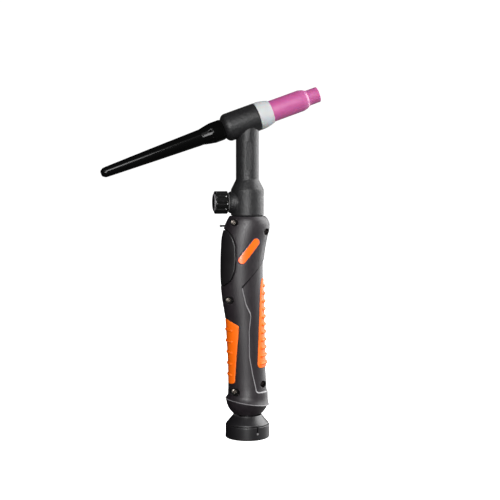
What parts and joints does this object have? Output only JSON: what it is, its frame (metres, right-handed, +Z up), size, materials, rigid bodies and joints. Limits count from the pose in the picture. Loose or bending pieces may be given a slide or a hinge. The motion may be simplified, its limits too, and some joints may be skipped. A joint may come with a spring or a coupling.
{
  "type": "tig torch",
  "caption": "Gas-cooled welding torch with a seventy-degree head, alumina nozzle, long back cap, gas valve in the neck, gripped handle with trigger and a ball-jointed hose end.",
  "frame": {"origin": "centre of the open end of the hose ring", "axes": "+Z up the handle towards the head, +X towards the nozzle, XZ the plane of symmetry"},
  "size_m": [0.1743, 0.0354, 0.2786],
  "materials": {
    "shell_nylon": "fine moulded texture, dark grey glass-filled nylon",
    "grip_rubber": "orange soft overmould, satin",
    "badge_plastic": "orange lacquered plate, blank",
    "peg_plastic": "black moulded",
    "screw_steel": "zinc-plated steel",
    "pin_steel": "ground steel",
    "spring_steel": "spring wire",
    "switch_plastic": "black moulded",
    "plunger_plastic": "red acetal",
    "bracket_steel": "zinc-plated sheet",
    "terminal_brass": "tinned brass",
    "sheath_rubber": "black moulded sheath, fine texture",
    "head_brass": "turned brass",
    "neck_copper": "drawn copper",
    "nut_plastic": "black moulded",
    "nozzle_alumina": "pink fired alumina, satin",
    "gasket_ptfe": "turned PTFE, off-white",
    "trigger_plastic": "black moulded, fine texture",
    "seal_rubber": "black nitrile",
    "knob_plastic": "black moulded, glossy",
    "cap_phenolic": "black phenolic, polished",
    "tungsten": "ground tungsten",
    "liner_plastic": "acetal",
    "hose_plastic": "black moulded"
  },
  "bodies": {
    "handle": {"handle_shell_left": "shell_nylon", "handle_shell_right": "shell_nylon", "front_grip": "grip_rubber", "rear_grip": "grip_rubber", "badge": "badge_plastic", "peg": "peg_plastic", "front_screws": "screw_steel", "rear_screws": "screw_steel", "trigger_pivot_pin": "pin_steel", "trigger_spring": "spring_steel", "switch_body": "switch_plastic", "switch_bracket": "bracket_steel", "switch_screws": "screw_steel", "switch_terminals": "terminal_brass", "torch_body": "sheath_rubber", "head_core": "head_brass", "neck_tube": "neck_copper", "valve_block": "head_brass", "inlet_connector": "head_brass", "packing_nut": "nut_plastic", "nozzle": "nozzle_alumina", "cup_gasket": "gasket_ptfe", "collet_body": "neck_copper", "collet": "neck_copper"},
    "trigger": {"trigger_pad": "trigger_plastic"},
    "plunger": {"switch_plunger": "plunger_plastic"},
    "valve_seal": {"valve_o_ring": "seal_rubber"},
    "valve_spindle": {"valve_stem": "head_brass", "valve_knob": "knob_plastic", "knob_cap": "knob_plastic"},
    "cap_seal": {"back_cap_o_ring": "seal_rubber"},
    "cap": {"back_cap": "cap_phenolic"},
    "electrode": {"tungsten_electrode": "tungsten"},
    "liner": {"ball_liner": "liner_plastic"},
    "sleeve": {"ball_sleeve": "hose_plastic"},
    "ring": {"hose_ring": "hose_plastic"}
  },
  "joints": [
    {"name": "trigger_press", "type": "hinge", "parent": "handle", "child": "trigger", "pos_m": [-0.0135, 0, 0.127], "axis": [0, 1, 0], "range_deg": [0, 1.2], "stiffness_Nm_per_rad": 1, "springref_deg": -1.72, "deforming": ["trigger_spring"]},
    {"name": "plunger_slide", "type": "slide", "parent": "handle", "child": "plunger", "axis": [1, 0, 0], "range_m": [0, 0.0006]},
    {"name": "valve_stem_slide", "type": "slide", "parent": "handle", "child": "valve_seal", "axis": [-1, 0, 0], "range_m": [0, 0.0016]},
    {"name": "valve_knob_turn", "type": "hinge", "parent": "valve_seal", "child": "valve_spindle", "pos_m": [0, 0, 0.1876], "axis": [-1, 0, 0], "range_deg": [0, 540]},
    {"name": "back_cap_slide", "type": "slide", "parent": "handle", "child": "cap_seal", "axis": [-0.9397, 0, -0.342], "range_m": [0, 0.0063]},
    {"name": "back_cap_turn", "type": "hinge", "parent": "cap_seal", "child": "cap", "pos_m": [0, 0, 0.252], "axis": [-0.9397, 0, -0.342], "range_deg": [0, 1800]},
    {"name": "electrode_slide", "type": "slide", "parent": "handle", "child": "electrode", "axis": [0.9397, 0, 0.342], "range_m": [0, 0.016]},
    {"name": "ball_turn", "type": "hinge", "parent": "handle", "child": "liner", "pos_m": [0, 0, 0.03], "axis": [0, 0, 1], "range_deg": [-180, 180]},
    {"name": "ball_tilt", "type": "hinge", "parent": "liner", "child": "sleeve", "pos_m": [0, 0, 0.03], "axis": [0, 1, 0], "range_deg": [-10, 10]},
    {"name": "hose_ring_turn", "type": "hinge", "parent": "sleeve", "child": "ring", "pos_m": [0, 0, 0], "axis": [0, 0, 1], "range_deg": [-180, 180]}
  ],
  "couplings": [
    {"joint": "plunger_slide", "follows": "trigger_press", "m_per_rad": 0.02},
    {"joint": "valve_stem_slide", "follows": "valve_knob_turn", "m_per_rad": 0.00015915},
    {"joint": "back_cap_slide", "follows": "back_cap_turn", "m_per_rad": 0.00019894}
  ]
}
